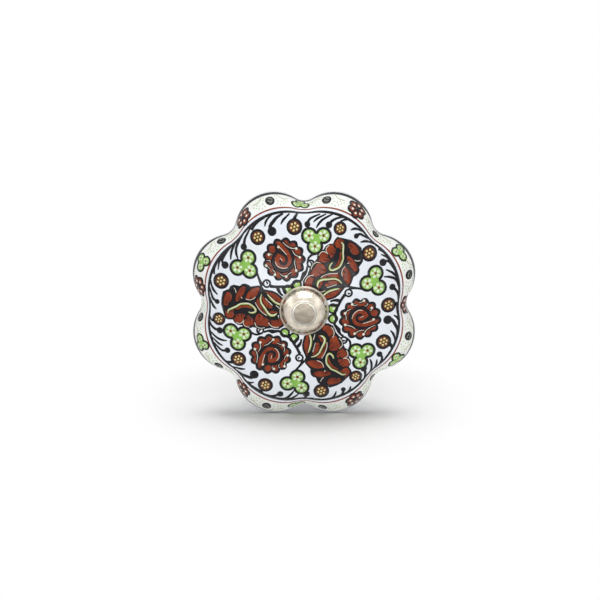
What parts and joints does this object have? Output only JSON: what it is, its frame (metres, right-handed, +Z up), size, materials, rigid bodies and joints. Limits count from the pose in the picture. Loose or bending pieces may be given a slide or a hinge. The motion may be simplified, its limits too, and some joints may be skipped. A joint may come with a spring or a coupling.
{
  "type": "cabinet knob",
  "caption": "Round ceramic knob with a softly lobed, domed face and a metal cap, bolted through a drawer front or door to pull it open.",
  "frame": {"origin": "where the knob's axis meets the front of the drawer, in the plane of the base cup's rim", "axes": "the face looks along -Y, the bolt points along +Y into the drawer, +Z is up"},
  "size_m": [0.0422, 0.0564, 0.0422],
  "materials": {
    "glaze": "white ceramic with coloured enamel flowers under a clear gloss glaze",
    "nickel_plate": "warm nickel plate on pressed sheet, slightly worn",
    "plated_steel": "plated steel, dull on the threads"
  },
  "bodies": {
    "root": {"ceramic_body": "glaze", "front_cap": "nickel_plate", "through_bolt": "plated_steel", "base_cup": "nickel_plate", "flat_washer": "plated_steel", "hex_nut": "plated_steel"}
  },
  "joints": []
}
